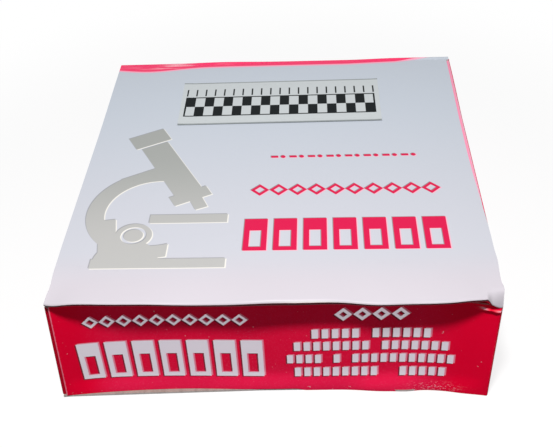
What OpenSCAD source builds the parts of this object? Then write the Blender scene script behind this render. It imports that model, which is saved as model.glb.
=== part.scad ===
// Carton of glass microscope slides.
// One folded board carton with a hinged tuck-in lid, a paper label on the lid,
// and a stack of slides that stand on their long edges like cards in a file.
// Origin: centre of the base. +X along the slides, -Y the front, +Z up.

/* [Slides] */
// Length of one slide, which lies across the carton
slide_length = 76.2; // [75:0.1:76.5]
// Width of one slide, which stands upright
slide_width = 25.4; // [25:0.1:26]
// Thickness of one slide
slide_thickness = 1.06; // [1:0.01:1.1]
// Number of slides in the stack, packed in pairs
slide_count = 72; // [60:2:72]
// Air between neighbouring slides
slide_gap = 0.015; // [0.01:0.005:0.03]

/* [Carton] */
// Thickness of the folded board
board = 0.45; // [0.35:0.05:0.5]
// Free space beyond each end of the slides
end_play = 2.7; // [2:0.1:4]
// Free depth in front of the stack, where the tuck flap goes
front_play = 6.6; // [6.2:0.1:8]
// How far the middle of the front wall is pushed in
front_bow = 2.1; // [0.5:0.1:2.4]
// How far the front wall's top edge lies below the side walls'
front_cut = 2.9; // [2.9:0.1:3.2]
// Outer radius of the folded upright corners
corner_radius = 0.7; // [0.6:0.1:1]
// Outer radius of the corner that carries the glue tab
tab_corner_radius = 0.8; // [0.8:0.1:1.4]
// Width of the glue tab behind the front wall
glue_tab = 11; // [8:1:14]

/* [Lid] */
// How far the lid's front edge stands out over the front wall's corners
lid_overhang = 1; // [0.4:0.1:1.2]
// How far the lid sags along its front edge
lid_sag = 0.4; // [0.3:0.05:0.5]
// Extra sag at the glued corner
corner_sag = 0.8; // [0:0.1:0.8]
// Depth of the strip that sags, in front of the slides
sag_depth = 9; // [8:0.5:9.5]
// Height of the tuck flap below the lid
tuck_depth = 14; // [12:0.5:15]
// Strip of the right side wall that the lid leaves bare at the back
lid_reveal = 0.7; // [0.3:0.1:0.8]

/* [Flaps] */
// Reach of the two dust flaps under the lid
dust_flap = 18; // [14:1:22]
// Reach of the glued flaps inside the bottom
bottom_flap = 22; // [18:1:26]

/* [Label] */
// Width of the paper label
label_width = 46; // [40:1:50]
// Depth of the paper label
label_depth = 18; // [14:1:20]
// Thickness of the paper label
label_thickness = 0.1; // [0.08:0.01:0.15]
// Turn of the label, which was stuck on slightly askew
label_turn = 1.5; // [0:0.5:3]

/* [Hidden] */
$fn = 48;
half_steps = 16;       // stations along half of a curved front edge
crease_steps = 6;      // facets round the fold of the lid
eps = 0.03;            // overlap between parts of the same sheet
free = 0.05;           // air between lid and walls
head_room = 0.15;      // air between slides and dust flaps
back_play = 0.1;       // air between the stack and the back wall

pair_count = slide_count / 2;
slide_pitch = slide_thickness + slide_gap;
stack_depth = slide_count * slide_pitch - slide_gap;
width = slide_length + 2 * end_play + 2 * board;
depth = front_play + stack_depth + back_play + 2 * board;
wall_top = 2 * board + slide_width + head_room + board;
height = wall_top + free + board;
half_w = width / 2;
half_d = depth / 2;
front_top = wall_top - front_cut;   // top edge of the front wall
front_rise = 0.8;      // it rises this much at the glued corner
rise_start = 6;        // and falls again between these distances from it
rise_end = 16;
tab_inset = 0.75;      // the raw edge of the front wall stops this far from the corner
bow_power = 4;         // flatness of the pushed-in front wall
relief = 1.4;          // how far the side walls are cut back under the lid's front
bow_reach = half_w - corner_radius;
dust_front = sag_depth + 0.5;      // ends of the dust flaps, behind the front plane
dust_back = depth - 1.2;
bottom_front = bottom_flap + 2;    // ends of the side flaps in the bottom
bottom_back = depth - 2;

function pair_name(i) = str("slide_pair_", i < 10 ? "0" : "", i);
function hump(x, centre, spread) = exp(-pow((x - centre) / spread, 2));
function ramp(x, from, to) = let (t = max(0, min(1, (x - from) / (to - from)))) t * t * (3 - 2 * t);
function reversed(list) = [for (i = [len(list) - 1:-1:0]) list[i]];
function arc(centre, radius, from, to, steps = 6) =
    [for (i = [0:steps]) let (a = from + (to - from) * i / steps)
        centre + radius * [cos(a), sin(a)]];

// ---- Front wall -----------------------------------------------------------

// How far the front wall stands behind the front plane, at x
function bow(x) = front_bow * (1 - pow(min(1, abs(x) / bow_reach), bow_power));
function front_y(x) = -half_d + bow(x);

// A curved line along the front, shifted back by a distance
function front_line(from, to, back) =
    [for (i = [0:2 * half_steps]) let (x = from + (to - from) * i / (2 * half_steps))
        [x, front_y(x) + back]];

// Height of the wall's top edge at x: it rises a little at the glued corner
function front_edge_z(x) =
    front_top + front_rise * max(0, min(1, (rise_end - (x + half_w)) / (rise_end - rise_start)));

module front_wall() {
    left = -half_w + tab_inset;
    right = half_w - corner_radius;
    step_down = 4;     // right of here the wall reaches the floor
    intersection() {
        linear_extrude(height)
            polygon(concat(front_line(left, right, 0), front_line(right, left, board)));
        translate([0, -half_d + 10, 0]) rotate([90, 0, 0]) linear_extrude(20)
            polygon([[-half_w, board], [step_down, board], [step_down + 2, 0], [half_w, 0],
                     [half_w, front_top], [rise_end - half_w, front_top],
                     [rise_start - half_w, front_top + front_rise], [-half_w, front_top + front_rise]]);
    }
}

// ---- Side and back walls --------------------------------------------------

// Outline of the wall that runs round the back, as a strip one board thick
function wrap_path(inset) =
    concat(arc([half_w - corner_radius, -half_d + corner_radius], corner_radius - inset, -90, 0),
           arc([half_w - corner_radius, half_d - corner_radius], corner_radius - inset, 0, 90),
           arc([-half_w + corner_radius, half_d - corner_radius], corner_radius - inset, 90, 180),
           arc(tab_corner(), tab_corner_radius - inset, 180, 270));
function tab_corner() =
    [-half_w + tab_corner_radius, -half_d + board - eps + tab_corner_radius];

module wrap_walls() {
    difference() {
        translate([0, 0, board]) linear_extrude(wall_top - board)
            polygon(concat(wrap_path(0), reversed(wrap_path(board))));
        side_relief();
        // the corner away from the glue tab is cut as low as the front wall
        translate([half_w - 3, -half_d - 1, front_top]) cube([4, 3, height]);
        side_creases();
    }
}

// Room for the sagging front of the lid above the side walls
module side_relief() {
    steps = 8;
    low_v = 2.4;
    low = front_top + front_rise;
    translate([-half_w - 1, -half_d, 0]) rotate([90, 0, 90]) linear_extrude(width + 2)
        polygon(concat([[-1, height], [-1, low], [low_v - 0.4, low]],
            [for (i = [0:steps]) let (v = low_v + (sag_depth - low_v) * i / steps)
                [v, wall_top - free - relief * pow(1 - v / sag_depth, 2)]],
            [[sag_depth, height]]));
}

// Rounded folds between the side walls and their flaps
module side_creases() {
    for (side = [-1, 1]) {
        side_crease(side, 1, wall_top - board, dust_front, dust_back);
        side_crease(side, -1, 2 * board, bottom_front, bottom_back);
    }
}

// The fold at one flap, which ends a little inside the flap's own ends
module side_crease(side, up, z, front_v, back_v) {
    end = 0.3;
    translate([side * (half_w - board), (front_v + back_v) / 2 - half_d, z])
        crease_cutter(side, up, board, back_v - front_v - 2 * end);
}

// Removes what lies outside a quarter round that runs along Y
module crease_cutter(side, up, r, length) {
    rotate([90, 0, 0]) linear_extrude(length, center = true)
        difference() {
            translate([side > 0 ? 0 : -2 * r, up > 0 ? 0 : -2 * r]) square(2 * r);
            circle(r);
        }
}

// The glue tab turns the corner behind the raw edge of the front wall
module glue_tab_strip() {
    from = -half_w + tab_corner_radius - eps;
    to = -half_w + glue_tab;
    taper = 2;
    outer = board - eps;
    intersection() {
        translate([0, 0, board]) linear_extrude(front_top - board)
            polygon(concat(front_line(from, to, outer), front_line(to, from, outer + board)));
        translate([0, -half_d + 10, 0]) rotate([90, 0, 0]) linear_extrude(20)
            polygon([[from - 1, board], [from + taper, board], [to, board + 2 * taper],
                     [to, front_top - 2 * taper], [from + taper, front_top], [from - 1, front_top]]);
    }
}

// ---- Flaps of the carton --------------------------------------------------

// Dust flap on the right, under the lid; its free corners are cut back
module dust_flap_right() {
    cut = 5;
    root = half_w - board + eps;
    tip = half_w - dust_flap;
    translate([0, -half_d, wall_top - board]) linear_extrude(board)
        polygon([[root, dust_front], [tip + cut, dust_front + 0.4 * cut], [tip, dust_front + 1.4 * cut],
                 [tip, dust_back - 1.4 * cut], [tip + cut, dust_back - 0.4 * cut], [root, dust_back]]);
}

// Glued flap on the right, inside the bottom
module bottom_flap_right() {
    cut = 6;
    root = half_w - board + eps;
    tip = half_w - bottom_flap;
    translate([0, -half_d, board]) linear_extrude(board)
        polygon([[root, bottom_front], [tip, bottom_front + cut], [tip, bottom_back - cut],
                 [root, bottom_back]]);
}

// Glued flap of the front wall, inside the bottom
module bottom_flap_front() {
    end = half_w - corner_radius - board;
    cut = 7;
    translate([0, 0, board]) linear_extrude(board)
        polygon(concat(front_line(-end, end, board - eps),
                       [[end - cut, -half_d + bottom_flap], [-end + cut, -half_d + bottom_flap]]));
}

// Full bottom panel, folded from the back wall; its cut front edge runs
// slightly askew and shows in front of the wall on the left
module bottom_panel() {
    left_edge = -half_d + 0.18;
    skew = 0.037;
    under_wall = 0.1;
    from = -half_w + 0.4;
    to = half_w - corner_radius;
    right_front = [to, -half_d + corner_radius];
    right_back = [to, half_d - corner_radius];
    left_back = [-to, half_d - corner_radius];
    difference() {
        linear_extrude(board)
            polygon(concat(
                [for (i = [0:2 * half_steps]) let (x = from + (to - from) * i / (2 * half_steps))
                    [x, min(left_edge + skew * (x + half_w), front_y(x) + under_wall)]],
                arc(right_front, corner_radius, -70, 0), arc(right_back, corner_radius, 0, 90),
                arc(left_back, corner_radius, 90, 180), [[-half_w, -half_d + 1.2]]));
        // the fold from the back wall
        translate([0, half_d - board, board]) rotate([0, 0, 90])
            crease_cutter(1, -1, board, width + 2);
    }
}

module carton_base() {
    color("crimson") union() {
        front_wall();
        wrap_walls();
        glue_tab_strip();
        bottom_panel();
        bottom_flap_front();
        for (side = [0, 1]) mirror([side, 0, 0]) {
            dust_flap_right();
            bottom_flap_right();
        }
    }
}

// ---- Lid and tuck flap ----------------------------------------------------

// The lid is one curved sheet: flat over the slides, sagging in front of them,
// folded back under its own front edge, and passed down behind the front wall
// along an arc round the hinge, so that it swings clear of the wall. Its
// outline at each x, as far as the fold, is a list of [v, z, normal v,
// normal z], where v is the distance behind the front plane.

lid_left = -half_w + 0.15;
front_reveal = 0.1;                         // what the lid leaves bare at the front right
dent_x = 5.5;                               // the front edge is pressed back here,
dent_spread = 8;                            // over this distance to each side,
dent_share = 0.8;                           // by this share of the overhang
corner_spread = 3.5;                        // reach of the sag at the glued corner
right_sag = 0.4;                            // extra sag to the right of the dent
end_lift = 0.3;                             // what is lost of it at the right end
loose_fold = 0.65;                          // extra radius of the fold at that end
tuck_clear = 0.3;                           // air between tuck flap and front wall
tuck_over = 0.12;                           // air where it passes over the wall
tuck_tip = front_top + 2 - tuck_depth;      // lowest point of the tuck flap
tuck_corner = 7;                            // radius of its free corners
hinge_steps = 3;                            // facets round the back fold
sag_steps = 5;
tuck_steps = 5;

// The tuck flap stands further back where the glue tab lies behind the wall
function tab_step(x) = board * max(0, min(1, (glue_tab + 4 - (x + half_w)) / 3));
function tuck_radius(x) = depth - board - bow(x) - tab_step(x) - tuck_clear;
function tuck_v(x, z) = depth - sqrt(pow(tuck_radius(x), 2) - pow(height - z, 2));
function tuck_normal(x, z) = let (n = [tuck_v(x, z) - depth, z - height]) n / norm(n);
function kink_z(x) = front_edge_z(x) + tuck_over;

// Right edge of the lid at a distance v: it runs askew behind the sagging strip
function lid_right(v) = let (back = max(0, min(v, depth - board) - sag_depth) / (depth - board - sag_depth))
    half_w - front_reveal - (lid_reveal - front_reveal) * back;

// Front edge of the lid: how far it stands out, how far it sags, and the outer
// radius of its fold
function overhang(x) = lid_overhang * (1 - dent_share * hump(x, dent_x, dent_spread))
    * (1 - pow(min(1, abs(x) / half_w), 8));
function edge_sag(x) = lid_sag + corner_sag * hump(x, -half_w, corner_spread)
    + right_sag * ramp(x, 2 * dent_x, 20) - end_lift * ramp(x, half_w - 4, half_w);
function fold_radius(x) = board + 0.06 + loose_fold * ramp(x, half_w - 4, half_w - 1);
function sag(x, v) = edge_sag(x) * pow(max(0, 1 - v / sag_depth), 2);

// Inset direction at the kink, which keeps the board's thickness on both sides
function kink_inset(x, at) = let (a = fold_end(x), n1 = [cos(a), sin(a)], n2 = tuck_normal(at, kink_z(x)))
    (n1 + n2) / (1 + n1 * n2);

function lid_slope(x, v) = atan(2 * edge_sag(x) * max(0, 1 - v / sag_depth) / sag_depth);
function fold_start(x) = fold_radius(x) * (1 - sin(lid_slope(x, 0))) - overhang(x);
function fold_centre(x) = let (v = fold_start(x), a = lid_slope(x, v))
    [v + fold_radius(x) * sin(a), height - sag(x, v) - fold_radius(x) * cos(a)];

// Where the fold ends, so that the sheet runs straight from it to the kink
function fold_end(x) = let (gap = [tuck_v(x, kink_z(x)), kink_z(x)] - fold_centre(x))
    360 + atan2(gap[1], gap[0]) - acos(fold_radius(x) / norm(gap));

function lid_outline(x) =
    let (c = fold_centre(x), start = 90 + lid_slope(x, fold_start(x)), turn = fold_end(x) - start)
    concat(
        [for (i = [0:hinge_steps]) let (a = 90 * i / hinge_steps)
            [depth - board + board * cos(a), height - board + board * sin(a), cos(a), sin(a)]],
        [for (i = [0:sag_steps]) let (v = sag_depth - (sag_depth - fold_start(x)) * i / sag_steps,
                                      a = lid_slope(x, v))
            [v, height - sag(x, v), -sin(a), cos(a)]],
        [for (i = [1:crease_steps]) let (a = start + turn * i / crease_steps)
            [c[0] + fold_radius(x) * cos(a), c[1] + fold_radius(x) * sin(a), cos(a), sin(a)]]);

// Ends of the sheet at height z: the tuck flap is narrower than the lid, to
// pass between the side walls, and has rounded free corners
function corner_cut(z) = let (up = z - tuck_tip)
    up < tuck_corner ? tuck_corner - sqrt(pow(tuck_corner, 2) - pow(tuck_corner - up, 2)) : 0;
function tuck_left(z) = -half_w + 1.5 + corner_cut(z);
function tuck_right(z) = half_w - 0.85 - corner_cut(z);

function lid_across(u, v) = lid_left + (lid_right(v) - lid_left) * u;

// Points across the sheet at a share u of its width, on the outer face or
// inset from it by the board's thickness
function lid_points(u, inset) =
    let (x = lid_across(u, 0))
    concat([for (p = lid_outline(x))
               [lid_across(u, p[0]), p[0] - inset * p[2] - half_d, p[1] - inset * p[3]]],
           [for (i = [0:tuck_steps])
               let (z = kink_z(x) + (tuck_tip - kink_z(x)) * i / tuck_steps,
                    at = tuck_left(z) + (tuck_right(z) - tuck_left(z)) * u,
                    n = i == 0 ? kink_inset(x, at) : tuck_normal(at, z))
               [at, tuck_v(at, z) - inset * n[0] - half_d, z - inset * n[1]]]);

module carton_lid() {
    columns = 2 * half_steps;
    points = [for (inset = [0, board]) for (j = [0:columns]) each lid_points(j / columns, inset)];
    rows = len(points) / (2 * (columns + 1));
    function top(j, i) = j * rows + i;
    function low(j, i) = len(points) / 2 + top(j, i);
    faces = concat(
        [for (j = [0:columns - 1]) for (i = [0:rows - 2])
            [top(j, i), top(j, i + 1), top(j + 1, i + 1), top(j + 1, i)]],
        [for (j = [0:columns - 1]) for (i = [0:rows - 2])
            [low(j, i), low(j + 1, i), low(j + 1, i + 1), low(j, i + 1)]],
        [for (i = [0:rows - 2]) [top(0, i), low(0, i), low(0, i + 1), top(0, i + 1)]],
        [for (i = [0:rows - 2])
            [top(columns, i), top(columns, i + 1), low(columns, i + 1), low(columns, i)]],
        [for (j = [0:columns - 1]) [top(j, 0), top(j + 1, 0), low(j + 1, 0), low(j, 0)]],
        [for (j = [0:columns - 1])
            [top(j, rows - 1), low(j, rows - 1), low(j + 1, rows - 1), top(j + 1, rows - 1)]]);
    color("ghostwhite") polyhedron(points, faces, convexity = 6);
}

// ---- Label and slides -----------------------------------------------------

label_v = 0.775 * depth;   // distance of the label's centre behind the front plane

module paper_label() {
    color("honeydew") translate([0, label_v - half_d, height]) rotate([0, 0, label_turn])
        linear_extrude(label_thickness) square([label_width, label_depth], center = true);
}

// Two neighbouring slides; pair 1 stands at the back
module slide_pair(pair) {
    back = half_d - board - back_play;
    color([0.80, 0.92, 0.88, 0.5])
        for (i = [2 * pair - 2, 2 * pair - 1])
            translate([-slide_length / 2, back - slide_thickness - i * slide_pitch, 2 * board])
                cube([slide_length, slide_thickness, slide_width]);
}

// The lid stands out at the front, so the rest lies a little behind the origin
module placed() {
    translate([0, lid_overhang / 2, 0]) children();
}

placed() carton_base();
placed() carton_lid();
placed() paper_label();
for (i = [1:pair_count])
    placed() slide_pair(i);
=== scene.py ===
"""Looks of a board carton of microscope slides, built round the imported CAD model.

Shapes are worked out in millimetres, in the frame of the CAD model: +X along the slides, -Y the
front, +Z up. v is the distance behind the front plane of the carton. Printed shapes are drawn by
shader nodes from the same places.
"""

import math

import bpy
import numpy as np
from mathutils import Matrix, Vector


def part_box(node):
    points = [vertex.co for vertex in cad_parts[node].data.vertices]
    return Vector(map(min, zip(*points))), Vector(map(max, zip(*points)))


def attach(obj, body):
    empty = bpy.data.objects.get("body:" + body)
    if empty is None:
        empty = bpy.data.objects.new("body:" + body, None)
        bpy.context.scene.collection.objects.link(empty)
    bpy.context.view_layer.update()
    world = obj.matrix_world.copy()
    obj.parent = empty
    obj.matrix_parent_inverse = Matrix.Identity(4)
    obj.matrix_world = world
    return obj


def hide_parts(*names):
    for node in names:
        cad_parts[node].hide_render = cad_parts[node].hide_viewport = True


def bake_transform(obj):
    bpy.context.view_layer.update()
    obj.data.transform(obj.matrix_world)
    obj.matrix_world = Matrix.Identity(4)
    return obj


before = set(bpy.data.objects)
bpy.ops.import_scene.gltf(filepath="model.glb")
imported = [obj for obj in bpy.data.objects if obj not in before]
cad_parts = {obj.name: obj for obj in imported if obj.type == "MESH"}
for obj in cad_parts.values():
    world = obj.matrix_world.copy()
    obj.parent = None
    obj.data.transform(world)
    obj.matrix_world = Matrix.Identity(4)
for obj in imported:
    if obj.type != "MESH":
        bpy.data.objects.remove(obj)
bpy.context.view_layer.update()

MM = 0.001

# ---- Sizes --------------------------------------------------------------------

base_low, base_high = (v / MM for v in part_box("carton_base"))
half_w = base_high.x
depth = base_high.y - base_low.y
half_d = depth / 2
MIDDLE = (base_high.y + base_low.y) / 2     # the carton's middle lies a little behind the origin
wall_top = base_high.z
height = (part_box("carton_lid")[1] / MM).z

BOARD = 0.45                       # thickness of the board
REST_GAP = 0.02                    # kept between sheets that lie on each other
CORNER = 0.4                       # outer radius of the upright corners
TAB_CORNER = 0.35                  # and of the corner with the glue tab
TAB_INSET = 0.95                   # the front wall's raw edge stops this far from that corner
TAB_WIDTH = 11.0
FRONT_TOP = wall_top - 2.9         # top edge of the front wall
FRONT_RISE = 0.8                   # it is higher by this at the glued corner
RISE_END, RISE_LONG = 16.0, 10.0   # that rise ends this far from the corner, and is this long
TUCK_OVER = 0.12                   # the tuck flap passes this far above the front wall
BOW_LOW = 2.0                      # how far the front wall is pushed in along its bottom edge
BOW_HIGH = 2.3                     # and higher up, where the dent is also flatter
OVERHANG = 1.8                     # how far the lid's front edge stands out over the front wall
bow_reach = half_w - CORNER
LEFT_OUT, LEFT_LEAN = 1.3, 0.047   # the front left edge stands out at its foot, and leans in

SAG = 1.4                          # room that the side walls leave for the lid's sag
SAG_DEPTH = 9.0
CREASE_REACH = 1.3                 # the crease strip covers this much of the lid
CREASE_LOW = wall_top - 0.6        # and starts here on the back wall

LIP_START = 36.5                   # the front wall's top is creased from here to its right end
LIP_Z, LIP_FALL = 23.3, 0.3        # height of that crease, and how far it falls on the way
LOBE_START = 38.0                  # the lid's front edge hangs down from here to its right end

DUST_FLAP = 18.0                   # length of the dust flaps
GLUED_FLAP = 22.0                  # and of the flaps glued inside the bottom
TUCK_CLEAR = 0.3                   # room between the tuck flap and the front wall
TUCK_TIP = height - SAG - 14.0     # height of its free edge
TUCK_ROUND = 7.0                   # radius of its corners

LABEL_V = 0.775 * depth - 0.4      # middle of the paper label, behind the front plane
LABEL_TURN = math.radians(0.5)
LABEL_WIDE, LABEL_HIGH = 23.1, 9.2          # half of its sides
PAPER = 0.1                        # its thickness

# Materials of the faces of a sheet, in the order of its material slots.
PRINTED, INNER, CUT = 0, 1, 2
COATED = 3                         # on the carton
FOLD_SHADE, TUCK = 3, 4                  # on the lid; the fold's material is painted shade


# ---- Small helpers ------------------------------------------------------------

def srgb(red, green, blue):
    """Linear colour of a value written as on a screen, 0 to 255."""
    def linear(c):
        c = c / 255
        return c / 12.92 if c <= 0.04045 else ((c + 0.055) / 1.055) ** 2.4
    return (linear(red), linear(green), linear(blue), 1.0)


def smooth(t):
    t = np.clip(t, 0, 1)
    return t * t * (3 - 2 * t)


def hump(x, centre, width):
    return np.exp(-(((np.asarray(x, float) - centre) / width) ** 2))


def humps(x, *each):
    """A sum of humps, each given by its height, centre and width."""
    return sum(high * hump(x, centre, width) for high, centre, width in each)


def ramp(x, start, end):
    return smooth((np.asarray(x, float) - start) / (end - start))


def outward(x, reach):
    """0 in the middle of the carton's width, 1 at the reach on both sides."""
    return np.minimum(1, np.abs(x) / reach)


# ---- The carton's form ----------------------------------------------------------

def low_bow(x):
    """How far the front wall stands behind the front plane along its bottom edge."""
    crumple = humps(x, (-0.34, 5, 14), (-0.28, -6, 8), (-0.35, 22, 5), (-0.25, 26, 2.5),
                    (0.4, 30, 4), (0.2, 33.4, 2.5))
    return BOW_LOW * (1 - outward(x, bow_reach) ** 2.8) + crumple


def high_bow(x):
    """The same higher up."""
    return BOW_HIGH * (1 - outward(x, bow_reach) ** 5.5)


def bow_at(x, z):
    """The same at any height."""
    return low_bow(x) + (high_bow(x) - low_bow(x)) * ramp(z, 0.3, 5)


def overhang(x):
    """How far the lid's front edge stands out past the front plane."""
    dents = humps(x, (0.25, -31, 7), (0.9, -14, 10.5), (0.85, 5.5, 8), (0.72, 14.8, 6), (0.55, 25, 4))
    return (OVERHANG - 0.25 * ramp(x, 22, 34) - dents) * (1 - outward(x, half_w) ** 8)


def kink_z(x):
    """Height at which the tuck flap passes over the front wall."""
    from_corner = np.asarray(x, float) + half_w
    return FRONT_TOP + TUCK_OVER + FRONT_RISE * np.clip((RISE_END - from_corner) / RISE_LONG, 0, 1)


def front_edge_z(x):
    """Top edge of the front wall."""
    return kink_z(x) - TUCK_OVER


def edge_sag(x):
    """How far the lid's front edge lies below its top. Its left corner is low, and so is its right
    half, with shallow waves between."""
    waves = humps(x, (1.3, -41.3, 4.2), (0.06, -31, 7), (-0.16, -22, 5), (0.12, -14, 8),
                  (0.72, -14, 10.5), (-0.14, 2.5, 3.5), (0.45, 4, 4.5), (0.1, 9, 3.5),
                  (0.58, 14.8, 6), (-0.1, 24, 5), (0.42, 25, 4), (-0.12, 35, 2))
    return 0.09 + waves + 0.4 * ramp(x, 11, 20) + 0.05 * ramp(x, LIP_START, LOBE_START)


def fold_radius(x):
    """The lid's front fold is softer in the middle."""
    return 0.42 + 0.3 * hump(x, 4, 11)


def droop(x, v):
    """How far the right end of the lid's front edge hangs down: a step, and then a longer fall."""
    fall = 1.2 * ramp(x, LOBE_START, 39.1) + 3.0 * np.clip((x - 38.7) / 2.3, 0, 1) ** 1.3
    return fall * (np.maximum(0, 1.7 - v) / 2.2) ** 2


def ripple(x, v):
    """Slight unevenness of the lid panel, away from its edges."""
    inner = ramp(np.abs(x), half_w - 3, half_w - 20) * ramp(v, 6, 20) * ramp(v, depth - 2, depth - 14)
    return inner * (0.05 * np.sin(x / 11 + 0.6) * np.sin(v / 17 + 0.4) - 0.06)


def side_top(v):
    """Top edge of a side wall, which clears the sagging front of the lid."""
    low = FRONT_TOP + FRONT_RISE
    curve = wall_top - 0.05 - SAG * np.clip(1 - v / SAG_DEPTH, 0, 1) ** 2
    return np.where(v > SAG_DEPTH, wall_top, low + (curve - low) * ramp(v, 2.0, 2.4))


def lip_z(x):
    """Height of the crease in the top of the front wall at its right end."""
    return LIP_Z - LIP_FALL * ramp(x, LIP_START, half_w)


def lid_edges(v):
    """Left and right edge of the lid panel. The right one is slightly askew."""
    left = -half_w - 0.3 + 0.05 * ramp(v, 14, 10) + 0.07 * hump(v, 4.3, 1.1) + 0.7 * ramp(v, 2.6, 0.3)
    right = half_w - 0.1 + 0.18 * hump(v, 1.8, 0.9) + 0.17 * hump(v, 9, 2.2) - 0.85 * ramp(v, 8, 46)
    return left, right


def racked(points):
    """The carton is squashed a little out of square: its left side leans in, its right side out."""
    x, v, z = points[:, 0], points[:, 1] + half_d, points[:, 2]
    up = np.clip(z / 26, 0, 1.1)
    left_top = 1.1 * ramp(v, 0, 3) - 0.08 - 0.27 * ramp(v, 50, depth)
    right_top = 0.2 - 0.15 * hump(v, 9, 5) - 0.1 * hump(v, 4, 2.2) + 0.2 * ramp(v, 55, 80)
    left = ramp(x, 5, -half_w) * (left_top * up - LEFT_OUT * (1 - up))
    right = ramp(x, 5, half_w) * (right_top * up - 0.1 * (1 - up))
    moved = points.copy()
    moved[:, 0] += left + right
    moved[:, 1] += MIDDLE
    return moved


# ---- Sheets of board --------------------------------------------------------------

SHARP_ANGLE = math.radians(38)


class Sheets:
    """Collects closed sheets of one thickness into a mesh, with a material for each kind of face."""

    def __init__(self):
        self.points, self.faces, self.kinds = [], [], []

    def add(self, outer, normal, thickness=BOARD, kinds=(PRINTED, INNER, CUT), bands=()):
        """outer and normal are grids of points, rows along the first axis. normal points out of the
        outer face. kinds are those of the outer face, the inner face and the edges. A band (column,
        kind) changes the kind of the outer face from a column on."""
        if (grid_normal(outer) * normal).sum() < 0:
            outer, normal = outer[::-1], normal[::-1]
        rows, columns = outer.shape[:2]
        start = sum(len(p) for p in self.points)
        inner = outer - normal * thickness
        self.points += [outer.reshape(-1, 3), inner.reshape(-1, 3)]
        top = start + np.arange(rows * columns).reshape(rows, columns)
        low = top + rows * columns

        def quads(a, b, c, d, kind):
            kind = np.broadcast_to(kind, a.shape)
            for face in zip(a.ravel(), b.ravel(), c.ravel(), d.ravel()):
                self.faces.append([int(i) for i in face])
            self.kinds += kind.ravel().tolist()

        printed = np.full(columns - 1, kinds[0])
        for column, kind in bands:
            printed[column:] = kind

        quads(top[:-1, :-1], top[1:, :-1], top[1:, 1:], top[:-1, 1:], printed)
        quads(low[:-1, :-1], low[:-1, 1:], low[1:, 1:], low[1:, :-1], kinds[1])
        quads(top[0, :-1], top[0, 1:], low[0, 1:], low[0, :-1], kinds[2])
        quads(top[-1, :-1], low[-1, :-1], low[-1, 1:], top[-1, 1:], kinds[2])
        quads(top[:-1, 0], low[:-1, 0], low[1:, 0], top[1:, 0], kinds[2])
        quads(top[:-1, -1], top[1:, -1], low[1:, -1], low[:-1, -1], kinds[2])
        return self

    def build(self, name, materials):
        points = racked(np.concatenate(self.points)) * MM
        mesh = bpy.data.meshes.new(name)
        mesh.from_pydata(points.tolist(), [], self.faces)
        for material in materials:
            mesh.materials.append(material)
        mesh.polygons.foreach_set("material_index", self.kinds)
        mesh.shade_smooth()
        mesh.set_sharp_from_angle(angle=SHARP_ANGLE)
        mesh.validate()
        piece = bpy.data.objects.new(name, mesh)
        bpy.context.scene.collection.objects.link(piece)
        return piece


def grid_normal(outer):
    """Unit normals of a grid of points."""
    normal = np.cross(np.gradient(outer, axis=0), np.gradient(outer, axis=1))
    return normal / np.maximum(np.linalg.norm(normal, axis=2, keepdims=True), 1e-9)


def flat_sheet(sheets, x_from, x_to, y_from, y_to, z, up, steps, kinds):
    """A flat sheet between two edges that run along X; y_from and y_to are functions of x."""
    x = np.linspace(x_from, x_to, steps + 1)
    t = np.linspace(0, 1, 5)
    y = y_from(x)[:, None] + (y_to(x) - y_from(x))[:, None] * t[None, :]
    outer = np.stack([np.repeat(x[:, None], len(t), 1), y, np.full_like(y, z)], axis=2)
    normal = np.zeros_like(outer)
    normal[..., 2] = 1 if up else -1
    sheets.add(outer, normal, kinds=kinds)


# ---- Walls ---------------------------------------------------------------------------

WALL_ROWS = 52                                       # points up a wall
WALL_ENDS = np.array([0, 0.06, 0.14, 0.24, 0.36])    # the first and last of them lie closer


def arc(cx, cy, radius, start, end, steps=7):
    a = np.radians(np.linspace(start, end, steps + 1))
    return np.stack([cx + radius * np.cos(a), cy + radius * np.sin(a)], axis=1)


def line(x0, y0, x1, y1, steps):
    t = np.linspace(0, 1, steps + 1)[:, None]
    return np.array([x0, y0]) * (1 - t) + np.array([x1, y1]) * t


def wall_path():
    """Plan of the strip of board that makes all four walls, from the raw edge at the front left
    round to the end of the glue tab, with the name of the part that each point is on."""
    r, t = CORNER, TAB_CORNER
    x_front = np.linspace(-half_w + TAB_INSET, half_w - r, 150)
    front = np.stack([x_front, -half_d + low_bow(x_front)], axis=1)
    behind = BOARD + REST_GAP
    x_tab = np.linspace(-half_w + t, -half_w + TAB_WIDTH, 24)
    tab = np.stack([x_tab, -half_d + high_bow(x_tab) + behind], axis=1)
    tab_bow = high_bow(-half_w + t)
    parts = [
        ("front", front),
        ("corner", arc(half_w - r, -half_d + r, r, -90, 0)),
        ("right", line(half_w, -half_d + r, half_w, half_d - r, 90)),
        ("corner", arc(half_w - r, half_d - r, r, 0, 90)),
        ("back", line(half_w - r, half_d, -half_w + r, half_d, 60)),
        ("corner", arc(-half_w + r, half_d - r, r, 90, 180)),
        ("left", line(-half_w, half_d - r, -half_w, -half_d + t + behind, 90)),
        ("tab_corner", arc(-half_w + t, -half_d + tab_bow + behind + t, t, 180, 270)),
        ("tab", tab),
    ]
    points, places = [], []
    for name, part in parts:
        if points and np.linalg.norm(points[-1] - part[0]) < 0.05:
            part = part[1:]
        points += list(part)
        places += [name] * len(part)
    return np.array(points), np.array(places)


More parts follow.
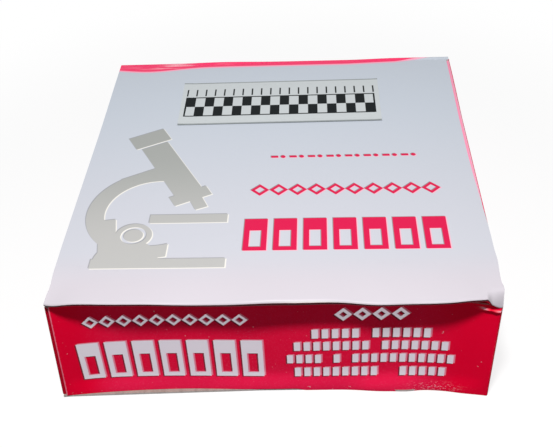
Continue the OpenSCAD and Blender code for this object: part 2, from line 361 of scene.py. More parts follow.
def wall_limits(points, places):
    """Bottom and top of the walls at each point of their plan, and how far their top is rounded
    by a fold."""
    x, v = points[:, 0], points[:, 1] + half_d
    low = np.full(len(x), BOARD)
    high = np.full(len(x), wall_top)
    folded = np.ones(len(x))
    front = places == "front"
    low[front] = BOARD * (1 - ramp(x[front], 4, 6)) + 0.01
    high[front] = front_edge_z(x[front])
    folded[front] = 0
    front_corner = (places == "corner") & (v < 2)
    low[front_corner] = 0.01
    high[front_corner] = FRONT_TOP
    for side in ("right", "left"):
        here = places == side
        high[here] = side_top(v[here])
        folded[here] = ramp(v[here], 8.5, 10)
    right_front = (places == "right") & (v < 3)
    notch = FRONT_TOP + (wall_top - FRONT_TOP) * ramp(v[right_front], 1.6, 2.4)
    high[right_front] = np.minimum(high[right_front], notch)
    back = places == "back"
    high[back] = CREASE_LOW
    folded[back] = 0
    folded[places == "corner"] = 0
    tab = places == "tab"
    tab_corner = places == "tab_corner"
    high[tab] = FRONT_TOP - 0.2
    high[tab_corner] = FRONT_TOP + FRONT_RISE * 0.7
    folded[tab | tab_corner] = 0
    return low, high, folded


def wall_dents(x, z, place):
    """Shallow unevenness of the walls, outward where positive."""
    if place not in ("front", "corner"):
        return 0 * z
    dent = 0 * z
    if place == "front":
        dent = 0.10 * np.sin(x / 6.1 + 1) * np.sin(z / 8.5)
        dent = dent + 0.16 * hump(z, 0.6, 1.3) * np.sin(x / 2.3) * hump(x, 27, 12)
    lip = ramp(x, LIP_START, 38.3) * ramp(x, half_w - 0.15, half_w - 0.6)
    over = z - lip_z(x)
    return dent + lip * (0.5 * ramp(over, -0.45, -0.02) - 0.6 * np.maximum(0, over))


def walls(sheets):
    points, places = wall_path()
    tangent = np.gradient(points, axis=0)
    tangent /= np.linalg.norm(tangent, axis=1, keepdims=True)
    out = np.stack([tangent[:, 1], -tangent[:, 0]], axis=1)
    low, high, folded = wall_limits(points, places)
    rise = 1 - (1 - np.linspace(0, 1, WALL_ROWS - 2 * len(WALL_ENDS))) ** 1.5
    reach = BOARD * 0.9
    outer = np.zeros((len(points), WALL_ROWS, 3))
    normal = np.zeros_like(outer)
    for i, (x, y) in enumerate(points):
        z = np.concatenate([low[i] + WALL_ENDS, low[i] + 0.6 + (high[i] - low[i] - 1.2) * rise,
                            high[i] - WALL_ENDS[::-1]])
        round_low = 0.8 if places[i] in ("right", "left", "back") else 0.25
        near_top = np.clip(reach - (high[i] - z), 0, reach) * folded[i]
        near_low = np.clip(reach - (z - low[i]), 0, reach) * round_low
        inset = 2 * reach - np.sqrt(reach ** 2 - near_top ** 2) - np.sqrt(reach ** 2 - near_low ** 2)
        shift = wall_dents(x, z, places[i]) - inset
        back = bow_at(x, z) - low_bow(x) if places[i] == "front" else 0
        outer[i, :, 0] = x + out[i, 0] * shift
        outer[i, :, 1] = y + out[i, 1] * shift + back
        outer[i, :, 2] = z
        normal[i, :, 0], normal[i, :, 1] = out[i]
    sheets.add(outer, normal)


def flaps(sheets):
    """Dust flaps, glued flaps of the bottom and the bottom panel."""
    def taper(x):
        """How far a dust flap's edges draw in on the way to its tip."""
        return 2 * ramp(half_w - np.abs(x), 0, 13) + 5 * ramp(half_w - np.abs(x), 13, DUST_FLAP)

    front = lambda x: -half_d + 9.5 + taper(x)
    back = lambda x: half_d - 1.2 - taper(x)
    for side in (-1, 1):
        root, tip = side * (half_w - BOARD * 0.6), side * (half_w - DUST_FLAP)
        flat_sheet(sheets, root, tip, front, back, wall_top, True, 18, (COATED, INNER, CUT))
        root, tip = side * (half_w - 0.36), side * (half_w - 1.6)      # the fold's red edge
        flat_sheet(sheets, root, tip, front, back, wall_top + REST_GAP, True, 4,
                   (PRINTED, INNER, PRINTED))

    front = lambda x: -half_d + 24 + 6 * (half_w - np.abs(x)) / GLUED_FLAP
    back = lambda x: half_d - 2 - 6 * (half_w - np.abs(x)) / GLUED_FLAP
    for side in (-1, 1):
        root, tip = side * (half_w - BOARD * 1.5), side * (half_w - GLUED_FLAP)
        flat_sheet(sheets, root, tip, front, back, 2 * BOARD, True, 8, (INNER, COATED, CUT))

    end = half_w - CORNER - BOARD
    front = lambda x: -half_d + high_bow(x) + BOARD * 0.8
    cut = lambda x: np.clip((end - np.abs(x)) / 7, 0.02, 1)         # its corners are cut away
    back = lambda x: front(x) + cut(x) * (GLUED_FLAP - high_bow(x) - BOARD)
    flat_sheet(sheets, -end, end, front, back, 2 * BOARD, True, 60, (INNER, COATED, CUT))

    front = lambda x: -half_d + np.minimum(0.18 + 0.037 * (x + half_w), low_bow(x) + 0.1)
    back = lambda x: np.full_like(x, half_d - 0.12)
    flat_sheet(sheets, -half_w + 0.3, half_w - 0.3, front, back, 0, False, 80, (COATED, INNER, CUT))


# ---- Lid -------------------------------------------------------------------------------

PANEL_STEPS, SAG_STEPS, FOLD_STEPS, TUCK_STEPS = 59, 30, 14, 26     # points along a lid column
FOLD_SHADE_FROM, TUCK_FROM = 5, 10       # this many steps into the fold, the painted shade starts, and then the tuck's red print


def tuck_v(x, z):
    """Where the tuck flap's outer face is: on an arc round the hinge, clear of the front wall."""
    tab_step = BOARD * np.clip((TAB_WIDTH + 4 - (x + half_w)) / 3, 0, 1)
    radius = depth - BOARD - high_bow(x) - tab_step - TUCK_CLEAR
    return depth - np.sqrt(radius ** 2 - (height - z) ** 2)


def lid_column(u):
    """Points across the lid's outer face and its tuck flap at a share u of the width."""
    def across(v):
        left, right = lid_edges(v)
        return left + (right - left) * u

    def slope(v):
        sag_slope = 2 * sag * max(0, 1 - v / SAG_DEPTH) / SAG_DEPTH
        return math.atan(sag_slope + float(droop(x, v - 0.01) - droop(x, v + 0.01)) / 0.02)

    rows = []
    for v in np.linspace(depth - CREASE_REACH, SAG_DEPTH, PANEL_STEPS + 1)[:-1]:
        x = across(v)
        rows.append((x, v, height + float(ripple(x, v))))

    x = across(0)
    r = float(fold_radius(x))
    sag = float(edge_sag(x))
    front = float(overhang(x))
    start_v = r * (1 - math.sin(slope(0))) - front
    for t in np.linspace(0, 1, SAG_STEPS):
        v = start_v + (SAG_DEPTH - start_v) * (1 - t) ** 1.5
        z = height - sag * (1 - v / SAG_DEPTH) ** 2 + float(ripple(x, v) - droop(x, v))
        rows.append((across(v), v, z))

    x = across(start_v)
    a = slope(start_v)
    cv = start_v + r * math.sin(a)
    cz = rows[-1][2] - r * math.cos(a)
    kink = float(kink_z(x))
    gap_v, gap_z = float(tuck_v(x, kink)) - cv, kink - cz
    begin = math.pi / 2 + a
    end = 2 * math.pi + math.atan2(gap_z, gap_v) - math.acos(min(1, r / math.hypot(gap_v, gap_z)))
    for t in np.linspace(0, 1, FOLD_STEPS + 1)[1:]:
        turn = begin + (end - begin) * t
        rows.append((x, cv + r * math.cos(turn), cz + r * math.sin(turn)))

    for t in np.linspace(0, 1, TUCK_STEPS):
        z = kink + (TUCK_TIP - kink) * t
        below = max(0, TUCK_ROUND - (z - TUCK_TIP))
        cut = TUCK_ROUND - math.sqrt(TUCK_ROUND ** 2 - min(below, TUCK_ROUND) ** 2)
        left, right = -half_w + 1.5 + cut, half_w - 0.85 - cut
        at = left + (right - left) * u
        rows.append((at, float(tuck_v(at, z)), z))
    return np.array(rows)


def lid_sheet():
    share = np.concatenate([np.linspace(0, 0.04, 14), np.linspace(0.04, 0.95, 150)[1:],
                            np.linspace(0.95, 1, 30)[1:]])
    outer = np.stack([lid_column(u) for u in share])
    outer[..., 1] -= half_d
    normal = grid_normal(outer)
    normal = normal * np.sign(normal[10, 10, 2])
    fold_start = outer.shape[1] - TUCK_STEPS - FOLD_STEPS
    # Partway round the front fold the lid is painted near-black red: painted shade for the shadow
    # under its edge.
    bands = ((fold_start + FOLD_SHADE_FROM, FOLD_SHADE), (fold_start + TUCK_FROM, TUCK))
    return Sheets().add(outer, normal, bands=bands)


def crease_sheet():
    """The fold between the back wall and the lid."""
    r = BOARD
    steps = [(half_d, CREASE_LOW + (height - r - CREASE_LOW) * t) for t in np.linspace(0, 1, 8)]
    steps += [(half_d - r + r * math.cos(a), height - r + r * math.sin(a))
              for a in np.linspace(0, math.pi / 2, 9)[1:]]
    steps += [(y, height) for y in np.linspace(half_d - r, half_d - CREASE_REACH, 8)[1:]]
    share = np.linspace(0, 1, 80)
    outer = np.zeros((len(share), len(steps), 3))
    normal = np.zeros_like(outer)
    left, right = lid_edges(depth)[0], half_w - 0.35
    for i, (y, z) in enumerate(steps):
        wide = float(ramp(z, wall_top, wall_top + 0.3)) if y > half_d - r - 0.01 else 1.0
        start = -half_w + CORNER + (left + half_w - CORNER) * wide
        end = half_w - CORNER + (right - half_w + CORNER) * wide
        x = start + (end - start) * share
        near_fold = ramp(z, wall_top, height) * ramp(half_d - y, CREASE_REACH, BOARD)
        outer[:, i, 0] = x
        outer[:, i, 1] = y
        outer[:, i, 2] = z + near_fold * (0.22 * hump(x, -15, 9) + 0.25 * ramp(x, 16, 28))
        normal[:, i] = Vector((0, max(0, y - half_d + r), max(0, z - height + r))).normalized()
    return Sheets().add(outer, normal, thickness=BOARD - REST_GAP)


def label_sheet():
    """The paper label, whose edges have come up a little."""
    x = np.linspace(-LABEL_WIDE - 0.8, LABEL_WIDE, 60)
    y = np.linspace(-LABEL_HIGH, LABEL_HIGH, 30)
    x, y = np.meshgrid(x, y, indexing="ij")
    lift = 0.06 * np.maximum(0, np.abs(x) / LABEL_WIDE - 0.93) / 0.07
    lift = lift + 0.05 * np.maximum(0, np.abs(y) / LABEL_HIGH - 0.9) / 0.1
    turned_x = x * math.cos(LABEL_TURN) - y * math.sin(LABEL_TURN)
    turned_y = x * math.sin(LABEL_TURN) + y * math.cos(LABEL_TURN) + LABEL_V - half_d
    paper = np.stack([turned_x, turned_y, height + PAPER + REST_GAP + lift], axis=2)
    up = np.zeros_like(paper)
    up[..., 2] = 1
    return Sheets().add(paper, up, thickness=PAPER)


# ---- Numbers and shapes in shader nodes ------------------------------------------------

class Field:
    """A number that shader nodes work out at each point of a surface."""

    def __init__(self, tree, socket):
        self.tree, self.socket = tree, socket

    def math(self, operation, *others, clamp=False):
        node = self.tree.nodes.new("ShaderNodeMath")
        node.operation = operation
        node.use_clamp = clamp
        for target, value in zip(node.inputs, (self,) + others):
            if isinstance(value, Field):
                self.tree.links.new(value.socket, target)
            else:
                target.default_value = value
        return Field(self.tree, node.outputs[0])

    def __add__(self, other):
        return self.math("ADD", other)

    def __sub__(self, other):
        return self.math("SUBTRACT", other)

    def __mul__(self, other):
        return self.math("MULTIPLY", other)

    def __truediv__(self, other):
        return self.math("DIVIDE", other)

    def __rsub__(self, other):
        return self.math("MULTIPLY_ADD", -1.0, other)

    def __abs__(self):
        return self.math("ABSOLUTE")

    __rmul__ = __mul__

    def least(self, other):
        return self.math("MINIMUM", other)

    def most(self, other):
        return self.math("MAXIMUM", other)

    def ramp(self, start, end):
        """0 before start, 1 after end, smooth between; start may be the larger."""
        node = self.tree.nodes.new("ShaderNodeMapRange")
        node.interpolation_type = "SMOOTHSTEP"
        self.tree.links.new(self.socket, node.inputs[0])
        node.inputs[1].default_value = start
        node.inputs[2].default_value = end
        return Field(self.tree, node.outputs[0])

    def bell(self, centre, width):
        """1 at centre, falling to 0 on both sides."""
        away = (self - centre) / width
        return (away * away).math("MULTIPLY", -1.0).math("EXPONENT")


SOFT = 0.07        # width of the edge of a printed shape


def inside(distance, soft=SOFT):
    """1 where a shape's distance is negative."""
    return distance.math("MULTIPLY_ADD", -1 / soft, 0.5, clamp=True)


def bar(x, y, cx, cy, wide, high):
    return (abs(x - cx) - wide / 2).most(abs(y - cy) - high / 2)


def disc(x, y, cx, cy, radius):
    dx, dy = x - cx, y - cy
    return (dx * dx).math("ADD", dy * dy).math("SQRT") - radius


def ring(x, y, cx, cy, radius, stroke):
    return abs(disc(x, y, cx, cy, radius)) - stroke / 2


def slant(x, y, start, end, wide):
    """A straight bar between two points."""
    long = math.dist(start, end)
    ux, uy = (end[0] - start[0]) / long, (end[1] - start[1]) / long
    dx, dy = x - start[0], y - start[1]
    along = dx * ux + dy * uy
    aside = dy * ux - dx * uy
    return (abs(along - long / 2) - long / 2).most(abs(aside) - wide / 2)


def within(x, start, pitch):
    """Place within a repeating cell, 0 in its middle."""
    return (x - start).math("FLOORED_MODULO", pitch) - pitch / 2


def cell(x, start, pitch, count):
    """The same, and a distance that is negative along the whole row of cells."""
    middle = start + pitch * count / 2
    return within(x, start, pitch), abs(x - middle) - pitch * count / 2


def row_of_slides(x, y, start, pitch, count, low, high, wide, stroke):
    """Upright slides with a solid end, drawn in outline."""
    place, span = cell(x, start, pitch, count)
    middle, tall = (low + high) / 2, high - low
    outline = bar(place, y, 0, middle, wide, tall)
    hollow = bar(place, y, 0, middle - tall * 0.13, wide - 2 * stroke, tall * 0.74 - 2 * stroke)
    return outline.most(hollow.math("MULTIPLY", -1.0)).most(span)


def row_of_diamonds(x, y, start, pitch, count, middle, radius, stroke):
    """Squares standing on a corner, drawn in outline."""
    place, span = cell(x, start, pitch, count)
    away = (abs(place) + abs(y - middle) - (radius - stroke * 0.7)) * 0.7
    return (abs(away) - stroke / 2).most(span)


def row_of_blocks(x, y, start, pitch, count, low, high, breaks):
    """A row of small upright blocks in groups, with every block in breaks left out."""
    place, span = cell(x, start, pitch, count)
    row = bar(place, y, 0, (low + high) / 2, pitch * 0.64, high - low)
    for skipped in breaks:
        row = row.most(pitch * 0.6 - abs(x - (start + pitch * (skipped + 0.5))))
    return row.most(span)


# ---- Materials -------------------------------------------------------------------------

class Board:
    """A material of coated board, laid up layer by layer."""

    def __init__(self, name, base, roughness, specular):
        self.material = bpy.data.materials.new(name)
        self.material.use_nodes = True
        self.tree = self.material.node_tree
        self.shader = self.tree.nodes["Principled BSDF"]
        self.shader.inputs["Specular IOR Level"].default_value = specular
        coordinates = self.tree.nodes.new("ShaderNodeTexCoord")
        scaled = self.tree.nodes.new("ShaderNodeVectorMath")
        scaled.operation = "SCALE"
        scaled.inputs["Scale"].default_value = 1 / MM
        self.tree.links.new(coordinates.outputs["Object"], scaled.inputs[0])
        self.place = scaled.outputs[0]
        split = self.tree.nodes.new("ShaderNodeSeparateXYZ")
        self.tree.links.new(self.place, split.inputs[0])
        self.x, self.y, self.z = (Field(self.tree, s) for s in split.outputs)
        self.v = self.y + (half_d - MIDDLE)
        tint = self.tree.nodes.new("ShaderNodeRGB")
        tint.outputs[0].default_value = base
        self.colour = tint.outputs[0]
        self.metal = None
        self.rough = self.noise(0.7, 3) * 0.10 + (roughness - 0.05)
        self.relief = self.noise(2.2, 4) * 0.006 + self.noise(0.25, 2) * 0.02

    def noise(self, scale, detail, stretch=(1, 1, 1)):
        """Noise about 1 / scale millimetres across, from 0 to 1."""
        mapping = self.tree.nodes.new("ShaderNodeMapping")
        mapping.inputs["Scale"].default_value = stretch
        self.tree.links.new(self.place, mapping.inputs["Vector"])
        node = self.tree.nodes.new("ShaderNodeTexNoise")
        node.inputs["Scale"].default_value = scale
        node.inputs["Detail"].default_value = detail
        self.tree.links.new(mapping.outputs[0], node.inputs["Vector"])
        return Field(self.tree, node.outputs["Fac"])

    def lay(self, colour, mask):
        """Covers what is there with a colour where the mask is 1."""
        mix = self.tree.nodes.new("ShaderNodeMix")
        mix.data_type = "RGBA"
        self.tree.links.new(mask.socket, mix.inputs[0])
        self.tree.links.new(self.colour, mix.inputs[6])
        mix.inputs[7].default_value = colour
        self.colour = mix.outputs[2]

    def finish(self):
        self.tree.links.new(self.colour, self.shader.inputs["Base Color"])
        self.tree.links.new(self.rough.socket, self.shader.inputs["Roughness"])
        if self.metal:
            self.tree.links.new(self.metal.socket, self.shader.inputs["Metallic"])
        add_relief(self.tree, self.shader, self.relief, MM)
        return self.material


def add_relief(tree, shader, relief, distance):
    bump = tree.nodes.new("ShaderNodeBump")
    bump.inputs["Distance"].default_value = distance
    tree.links.new(relief.socket, bump.inputs["Height"])
    tree.links.new(bump.outputs[0], shader.inputs["Normal"])


WHITE = srgb(193, 200, 210)            # the lid's coat at the back
# Painted light: the lid's coat turns warmer towards the front, for the light on its drooping front.
WHITE_MIDDLE_LIGHT_TINT = srgb(194, 195, 203)
WHITE_FRONT_LIGHT_TINT = srgb(198, 192, 199)
WHITE_EDGE = srgb(250, 246, 236)       # where it catches the light on the front fold
RED = srgb(255, 0, 53)
MIDDLE_RED = srgb(255, 19, 69)         # paler where the front wall is pushed in
# Painted sheen: pinker low on the front wall, for the pale floor reflected there.
LOW_RED_SHEEN = srgb(255, 37, 90)
DEEP_RED = srgb(224, 4, 54)
TAB_RED_SHADE = srgb(196, 8, 38)             # the outside of the glue tab, painted darker as shade
LID_RED = srgb(207, 22, 73)
SILVER = srgb(218, 211, 221)
OVERRUN = srgb(246, 58, 108)           # red that runs over the lid's back edge
OVERRUN_EDGE = srgb(246, 168, 192)
# Painted highlight: pale pink streaks where the red rounds over the lid's back fold.
OVERRUN_GLINT = srgb(250, 190, 200)
SHADE_PRINT = srgb(84, 44, 54)
KEY_GREY = srgb(178, 177, 175)
FAR_GREY = srgb(158, 160, 157)
BOARD_GREY = srgb(150, 142, 134)
BLACK = srgb(6, 12, 14)

PRINT_BEND = 0.00043                   # the front wall's rows of print rise towards both ends


def printed_wall():
    """Red coated board with rows of pale generic shapes on the front."""
    board = Board("carton_print", RED, 0.34, specular=0.02)
    x, z = board.x, board.z
    front = board.v.ramp(4.0, 3.4)
    corner = board.v.ramp(1.6, 1.2)        # the ends of the front wall, where it isn't pushed in
    middle = x.ramp(-38, -30) * x.ramp(36, 26)
    board.lay(MIDDLE_RED, middle)
    # Painted sheen: the foot of the front wall is pinker, for the pale floor reflected in it.
    board.lay(LOW_RED_SHEEN, middle * z.ramp(7.5, 2) * front * 0.7)
    board.lay(DEEP_RED, board.noise(0.35, 3) * 0.25)
    level = z - x * x * PRINT_BEND

    def rows(dx, dz):
        px, pz = x + dx, level + dz
        shapes = row_of_diamonds(px, pz, -35.4, 3.09, 10, 19.05, 1.5, 0.5)
        shapes = shapes.least(row_of_slides(px, pz, -38.0, 5.2, 7, 3.7, 13.6, 4.1, 1.0))
        shapes = shapes.least(row_of_diamonds(px, pz, 11.4, 3.5, 4, 20.2, 1.65, 0.65))
        shapes = shapes.least(row_of_blocks(px, pz, 6.9, 1.9, 12, 14.0, 16.4, (5,)))
        shapes = shapes.least(row_of_blocks(px, pz, 3.5, 1.85, 16, 10.7, 13.0, (8,)))
        shapes = shapes.least(row_of_blocks(px, pz, 2.1, 1.79, 18, 7.2, 9.5, (4, 6)))
        return shapes.least(row_of_blocks(px, pz, 3.5, 1.84, 16, 3.6, 5.9, (9, 10)))

    # The shapes look embossed: shaded at the lower left and lit at the upper right.
    board.lay(SHADE_PRINT, inside(rows(0.26, 0.2), 0.2) * front * 0.85)
    board.lay(srgb(255, 150, 178), inside(rows(-0.3, -0.22), 0.12) * front)
    drawn = inside(rows(0, 0)) * front
    board.lay(SILVER, drawn)
    board.metal = drawn * 0.55

    # Specks, mottling and, low at the right, scuffs.
    plain = (middle + 0.25) * (1.0 - drawn)
    board.lay(srgb(240, 190, 200), board.noise(1.6, 2).ramp(0.74, 0.78) * 0.6)
    board.lay(srgb(246, 120, 150), board.noise(5.0, 2).ramp(0.6, 0.72) * plain * 0.2)
    board.lay(srgb(255, 60, 105), board.noise(2.4, 4).ramp(0.5, 0.72) * plain * 0.18)
    scuffs = board.noise(2.2, 3, (1, 1, 1.6)).ramp(0.56, 0.62) * x.bell(31.0, 4.0) * z.ramp(3.2, 1.2)
    board.lay(srgb(255, 170, 190), scuffs * front * 0.75)

    # The raw edge of the front wall, and the tab beside it, which is painted darker as shade.
    frayed = board.noise(1.5, 4)
    from_side = x + (half_w + LEFT_OUT) - z * LEFT_LEAN
    # Painted shade: the tab's outside is darker red.
    board.lay(TAB_RED_SHADE, inside(from_side - TAB_INSET + 0.04, 0.08) * corner)
    raw = abs(from_side - TAB_INSET - 0.08) - (frayed * 0.3 - 0.02)
    board.lay(srgb(255, 140, 165), inside(raw, 0.08) * corner * 0.8)

    # The folds along the top of the side walls, and the crease at the right end of the front.
    along_side = board.v.ramp(8, 12)
    # A pinker band and a pale pink line along these folds: partly worn ink, partly a painted
    # highlight on the rounded fold.
    board.lay(srgb(244, 40, 96), z.ramp(wall_top - 0.35, wall_top - 0.2) * along_side)
    board.lay(srgb(248, 150, 180), z.ramp(wall_top, wall_top + 0.015) * along_side)
    crease = abs(z - (LIP_Z + 0.15) + x.ramp(LIP_START, half_w) * LIP_FALL) - frayed * 0.3
    ends = x.bell(38.1, 0.6).most(x.bell(half_w, 0.9))
    board.lay(srgb(255, 190, 205), inside(crease, 0.2) * corner * ends)
    return board.finish()


def lay_overrun(board):
    """The red that runs over the back edge of the lid, with painted highlight streaks where it rounds
    over the fold.
    """
    x, v = board.x, board.v
    edge = 82.75 - 1.8 * x.bell(-33, 9) + 0.055 * (x - 16).most(0.0) + 0.15 * (x - 28).most(0.0)
    past = v - edge + (height - 0.3 - board.z).most(0.0) * 20
    board.lay(OVERRUN_EDGE, inside(past * -1.0 - 0.55, 0.25) * v.ramp(60, 70))
    board.lay(OVERRUN, inside(past * -1.0, 0.25) * v.ramp(60, 70))
    # Painted highlight: streaks of glint on the rounded back fold.
    glint_streaks = board.noise(0.5, 4, (0.25, 3.0, 1.0)).ramp(0.5, 0.62) * x.bell(-26, 9)
    board.lay(OVERRUN_GLINT, glint_streaks * inside(past * -1.0 + 0.5, 0.4) * v.ramp(60, 70) * 0.7)


def microscope(x, y):
    """A plain pictogram of a microscope."""
    foot = bar(x, y, -21.3, 9.0, 25.4, 2.6)
    heel = disc(x, y, -27.5, 9.5, 6.2).most(8.0 - y)
    arch = ring(x, y, -23.5, 24.5, 12.2, 3.6).most(x + 20.0)
    column = slant(x, y, (-31.0, 10.0), (-33.0, 22.0), 3.4)
    stage = bar(x, y, -16.8, 22.3, 15.4, 2.6)
    tube = slant(x, y, (-17.5, 30.5), (-27.0, 48.0), 6.0)
    eye = slant(x, y, (-27.3, 48.6), (-29.6, 52.8), 8.2)
    nose = slant(x, y, (-13.6, 31.6), (-20.8, 27.8), 3.2)
    lens = slant(x, y, (-16.4, 29.6), (-14.6, 25.6), 2.6)
    limb = slant(x, y, (-31.5, 34.0), (-20.0, 40.6), 3.6)
    shapes = foot
    for part in (heel, arch, column, stage, tube, eye, nose, lens, limb):
        shapes = shapes.least(part)
    knob = disc(x, y, -27.0, 17.2, 3.6)
    slit = abs(disc(x, y, -27.0, 17.2, 2.2)) - 0.35
    return shapes.least(knob).most(slit.math("MULTIPLY", -1.0))


def red_rows(x, y):
    """Rows of generic shapes in place of the lid's lettering."""
    bold = row_of_slides(x, y, -6.2, 5.75, 7, 12.3, 21.8, 4.5, 1.1)
    medium = row_of_diamonds(x, y, -5.0, 3.86, 10, 31.2, 1.9, 0.6)
    place, span = cell(x, -1.8, 3.96, 8)
    dashes = bar(place, y, -0.6, 43.0, 1.5, 0.7).least(disc(place, y, 1.2, 43.0, 0.5))
    return bold.least(medium).least(dashes.most(span))


def lay_lid_print(board):
    """The pictogram and the rows, with a pale and a dark edge to look embossed."""
    x, y = board.x, board.v
    board.lay(srgb(236, 232, 222), inside(microscope(x - 0.25, y + 0.22), 0.2) * 0.8)
    board.lay(srgb(120, 120, 122), inside(microscope(x + 0.18, y - 0.18), 0.15) * 0.7)
    drawn = inside(microscope(x, y))
    board.lay(KEY_GREY, drawn)
    board.lay(FAR_GREY, drawn * y.ramp(14, 46))
    board.lay(srgb(243, 170, 190), inside(red_rows(x - 0.2, y + 0.16), 0.2) * 0.8)
    board.lay(srgb(120, 84, 92), inside(red_rows(x + 0.16, y - 0.14), 0.15) * 0.8)
    board.lay(LID_RED, inside(red_rows(x, y)))


def lid_board():
    """White coated board. It is painted a little warmer and paler towards the front, which is painted
    light on the lid's drooping front, and it has a painted highlight on the front fold.
    """
    board = Board("lid_print", WHITE, 0.36, specular=0.12)
    # Painted light: warmer towards the front, then a painted highlight on the front fold.
    board.lay(WHITE_MIDDLE_LIGHT_TINT, board.v.ramp(72, 12))
    board.lay(WHITE_FRONT_LIGHT_TINT, board.v.ramp(14, 2))
    board.lay(WHITE_EDGE, board.v.ramp(-0.5, -0.9) * board.x.bell(8, 5) * 0.8)
    lay_overrun(board)
    lay_lid_print(board)
    return board.finish()


def plain_print(name, base, other, roughness=0.36, specular=0.08, scale=0.35, amount=0.25):
    """Coated board in one colour, clouded with an amount of another."""
    board = Board(name, base, roughness, specular)
    board.lay(other, board.noise(scale, 3) * amount)
    return board.finish()


def plain_board(name, base, darker):
    """Uncoated board: matt, with short grey fibres."""
    board = Board(name, base, 0.75, specular=0.2)
    board.lay(darker, board.noise(1.2, 4, (1, 0.35, 1)).ramp(0.4, 0.75) * 0.6)
    board.relief = board.relief + board.noise(3.0, 4, (1, 0.4, 1)) * 0.02
    return board.finish()


def label_material():
    """Matt paper with a plain chequered scale printed on it, and painted shade along its top and
    bottom edges.
    """
    wide, high, middle = 2.2, 4.0, -1.6        # a square of the scale, and the line between its rows
    board = Board("label_print", srgb(197, 202, 204), 0.6, specular=0.1)
    dx, dy = board.x, board.v - LABEL_V
    x = dx * math.cos(LABEL_TURN) + dy * math.sin(LABEL_TURN)
    y = dy * math.cos(LABEL_TURN) - dx * math.sin(LABEL_TURN)
    # Painted shade: darker bands along the top and bottom edges, for the shadow at the label's edges.
    board.lay(srgb(96, 104, 104), inside(LABEL_HIGH - 0.4 - abs(y), 0.2) * 0.6)
    place, span = cell(x, -10 * wide, 2 * wide, 10)
    upper = bar(place, y, -wide / 2, middle + high / 2, wide, high)
    lower = bar(place, y, wide / 2, middle - high / 2, wide, high)
    ticks, tick_span = cell(x, -10.5 * wide, wide, 21)
    rule = bar(ticks, y, 0, 4.6, 0.35, 3.0).most(tick_span)
    frame_line = abs(bar(x, y, 0, middle, 20 * wide, 2 * high)) - 0.2
    board.lay(BLACK, inside(upper.least(lower).most(span).least(rule).least(frame_line)))
    return board.finish()


def glass_material(start, pitch):
    """Glass with a darker joint between each slide of the stack and the next. It is only half
    clear, because a stack of clear slides in a closed box renders black."""
    material = bpy.data.materials.new("slide_glass")
    material.use_nodes = True
    tree = material.node_tree
    shader = tree.nodes["Principled BSDF"]
    shader.inputs["Transmission Weight"].default_value = 0.5
    shader.inputs["IOR"].default_value = 1.52
    coordinates = tree.nodes.new("ShaderNodeTexCoord")
    noise = tree.nodes.new("ShaderNodeTexNoise")
    noise.inputs["Scale"].default_value = 60
    tree.links.new(coordinates.outputs["Object"], noise.inputs["Vector"])
    split = tree.nodes.new("ShaderNodeSeparateXYZ")
    tree.links.new(coordinates.outputs["Object"], split.inputs[0])
    place = within(Field(tree, split.outputs[1]) / MM, start, pitch)
    joint = abs(place).ramp(pitch / 2 - 0.16, pitch / 2 - 0.04)
    grain = Field(tree, noise.outputs["Fac"]) * 0.3 + joint * 0.7
    tint = tree.nodes.new("ShaderNodeMix")
    tint.data_type = "RGBA"
    tint.inputs[6].default_value = srgb(214, 230, 225)
    tint.inputs[7].default_value = srgb(112, 150, 138)
    tree.links.new(grain.socket, tint.inputs[0])
    tree.links.new(tint.outputs[2], shader.inputs["Base Color"])
    tree.links.new((grain * 0.05).socket, shader.inputs["Roughness"])
    add_relief(tree, shader, grain, 0.05 * MM)
    return material


# ---- The pieces ----------------------------------------------------------------------------

wall_print = printed_wall()
inner_grey = plain_board("board_inside", BOARD_GREY, srgb(118, 110, 104))
cut_edge = plain_board("board_edge", srgb(205, 198, 196), srgb(168, 158, 156))
white_coat = plain_print("board_white", WHITE, srgb(190, 190, 196), roughness=0.4, specular=0.4,
                         scale=0.3, amount=0.3)

base_sheets = Sheets()
walls(base_sheets)
flaps(base_sheets)
carton = base_sheets.build("carton_board", [wall_print, inner_grey, cut_edge, white_coat])
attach(carton, "carton")
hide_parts("carton_base")

lid_coat = lid_board()
# Painted shade: the underside of the lid's front fold is near-black red, for the shadow gap under the
# lid's edge.
fold_shade = plain_print("fold_painted_shade", srgb(70, 5, 18), srgb(50, 4, 14))
tuck_print = plain_print("tuck_print", RED, DEEP_RED)
lid = lid_sheet().build("lid_board", [lid_coat, inner_grey, cut_edge, fold_shade, tuck_print])
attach(lid, "lid")
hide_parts("carton_lid")

crease = crease_sheet().build("lid_crease", [lid_coat, inner_grey, cut_edge])
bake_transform(crease)

label = label_sheet().build("label_paper", [label_material()] * 3)
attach(label, "lid")
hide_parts("paper_label")

slides = [node for name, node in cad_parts.items() if name.startswith("slide_pair")]
stack_edges = [corner.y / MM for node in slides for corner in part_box(node.name)]
stack_start = min(stack_edges)
glass = glass_material(stack_start, (max(stack_edges) - stack_start) / (2 * len(slides)))
for node in slides:
    node.data.materials.clear()
    node.data.materials.append(glass)


# ---- Floor, light and camera ------------------------------------------------------------------

def seen_directly(tree):
    """1 for camera, glossy and transmission rays."""
    path = tree.nodes.new("ShaderNodeLightPath")
    camera_ray = Field(tree, path.outputs["Is Camera Ray"])
    glossy = Field(tree, path.outputs["Is Glossy Ray"])
    through = Field(tree, path.outputs["Is Transmission Ray"])
    return camera_ray.most(glossy).most(through)


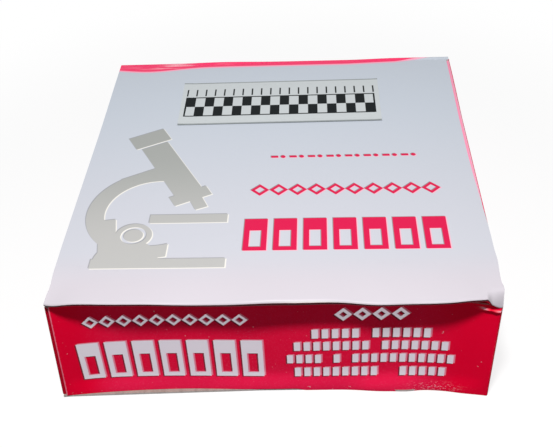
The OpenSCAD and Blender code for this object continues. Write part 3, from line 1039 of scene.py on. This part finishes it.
def floor_pale():
    """White as it is seen, with a soft shadow of the object; grey as it lights the object."""
    material = bpy.data.materials.new("floor_pale")
    material.use_nodes = True
    tree = material.node_tree

    def mixed(factor, first, second):
        mix = tree.nodes.new("ShaderNodeMixShader")
        tree.links.new(factor.socket, mix.inputs[0])
        tree.links.new(first.outputs[0], mix.inputs[1])
        tree.links.new(second.outputs[0], mix.inputs[2])
        return mix

    matt = tree.nodes["Principled BSDF"]
    matt.inputs["Base Color"].default_value = srgb(110, 110, 110)
    matt.inputs["Roughness"].default_value = 0.9
    matt.inputs["Specular IOR Level"].default_value = 0.1
    pale = tree.nodes.new("ShaderNodeBsdfDiffuse")
    pale.inputs["Color"].default_value = srgb(252, 252, 252)
    glow = tree.nodes.new("ShaderNodeEmission")
    glow.inputs["Strength"].default_value = 1.0
    spot = tree.nodes.new("ShaderNodeTexCoord")
    far = tree.nodes.new("ShaderNodeVectorMath")
    far.operation = "LENGTH"
    tree.links.new(spot.outputs["Object"], far.inputs[0])
    glowing = Field(tree, far.outputs["Value"]).ramp(0.07, 0.15) * 0.16 + 0.84
    seen_floor = mixed(glowing, pale, glow)
    surface = mixed(seen_directly(tree), matt, seen_floor)
    tree.links.new(surface.outputs[0], tree.nodes["Material Output"].inputs[0])
    return material


bpy.ops.mesh.primitive_plane_add(size=6, location=(0, 0, -0.02 * MM))
floor = bpy.context.object
floor.name = "floor"
floor.data.materials.append(floor_pale())

world = bpy.data.worlds.new("studio")
bpy.context.scene.world = world
world.use_nodes = True
background = world.node_tree.nodes["Background"]
background.inputs["Color"].default_value = (1, 1, 1, 1)
strength = seen_directly(world.node_tree) * 0.86 + 0.14
world.node_tree.links.new(strength.socket, background.inputs["Strength"])


def lamp(name, azimuth, elevation, distance, size, level):
    """A round lamp at a distance from the middle of the lid's front edge, which lights a surface
    facing it there to about the given level."""
    a, e = math.radians(azimuth), math.radians(elevation)
    target = Vector((0, base_low.y * MM, 0.025))
    away = Vector((math.sin(a) * math.cos(e), -math.cos(a) * math.cos(e), math.sin(e)))
    data = bpy.data.lights.new(name, "AREA")
    data.shape = "DISK"
    data.size = size
    data.energy = level * 4 * math.pi * distance ** 2
    light = bpy.data.objects.new(name, data)
    light.location = target + away * distance
    light.rotation_euler = (target - light.location).to_track_quat("-Z", "Y").to_euler()
    bpy.context.scene.collection.objects.link(light)


lamp("key", azimuth=-2, elevation=71, distance=0.26, size=0.03, level=1.04)

# The camera, from a pinhole fitted to the corners of the carton in the photo.
PHOTO_WIDE, FOCAL_PIXELS, SENSOR = 553, 887.7, 36
pitch, yaw, roll = (math.radians(a) for a in (39.084, -3.805, -3.203))
forward = Vector((math.sin(yaw) * math.cos(pitch), math.cos(yaw) * math.cos(pitch), -math.sin(pitch)))
side = forward.cross(Vector((0, 0, 1))).normalized()
over = side.cross(forward)
right = side * math.cos(roll) + over * math.sin(roll)
above = over * math.cos(roll) - side * math.sin(roll)
camera_place = (0.00955, base_low.y * MM - 0.11364, 0.13625)
camera_data = bpy.data.cameras.new("camera")
camera_data.sensor_width = SENSOR
camera_data.lens = FOCAL_PIXELS / PHOTO_WIDE * SENSOR
camera = bpy.data.objects.new("camera", camera_data)
turned = Matrix((right, above, -forward)).transposed().to_4x4()
camera.matrix_world = Matrix.Translation(camera_place) @ turned
bpy.context.scene.collection.objects.link(camera)
bpy.context.scene.camera = camera
bpy.context.scene.view_settings.view_transform = "Standard"
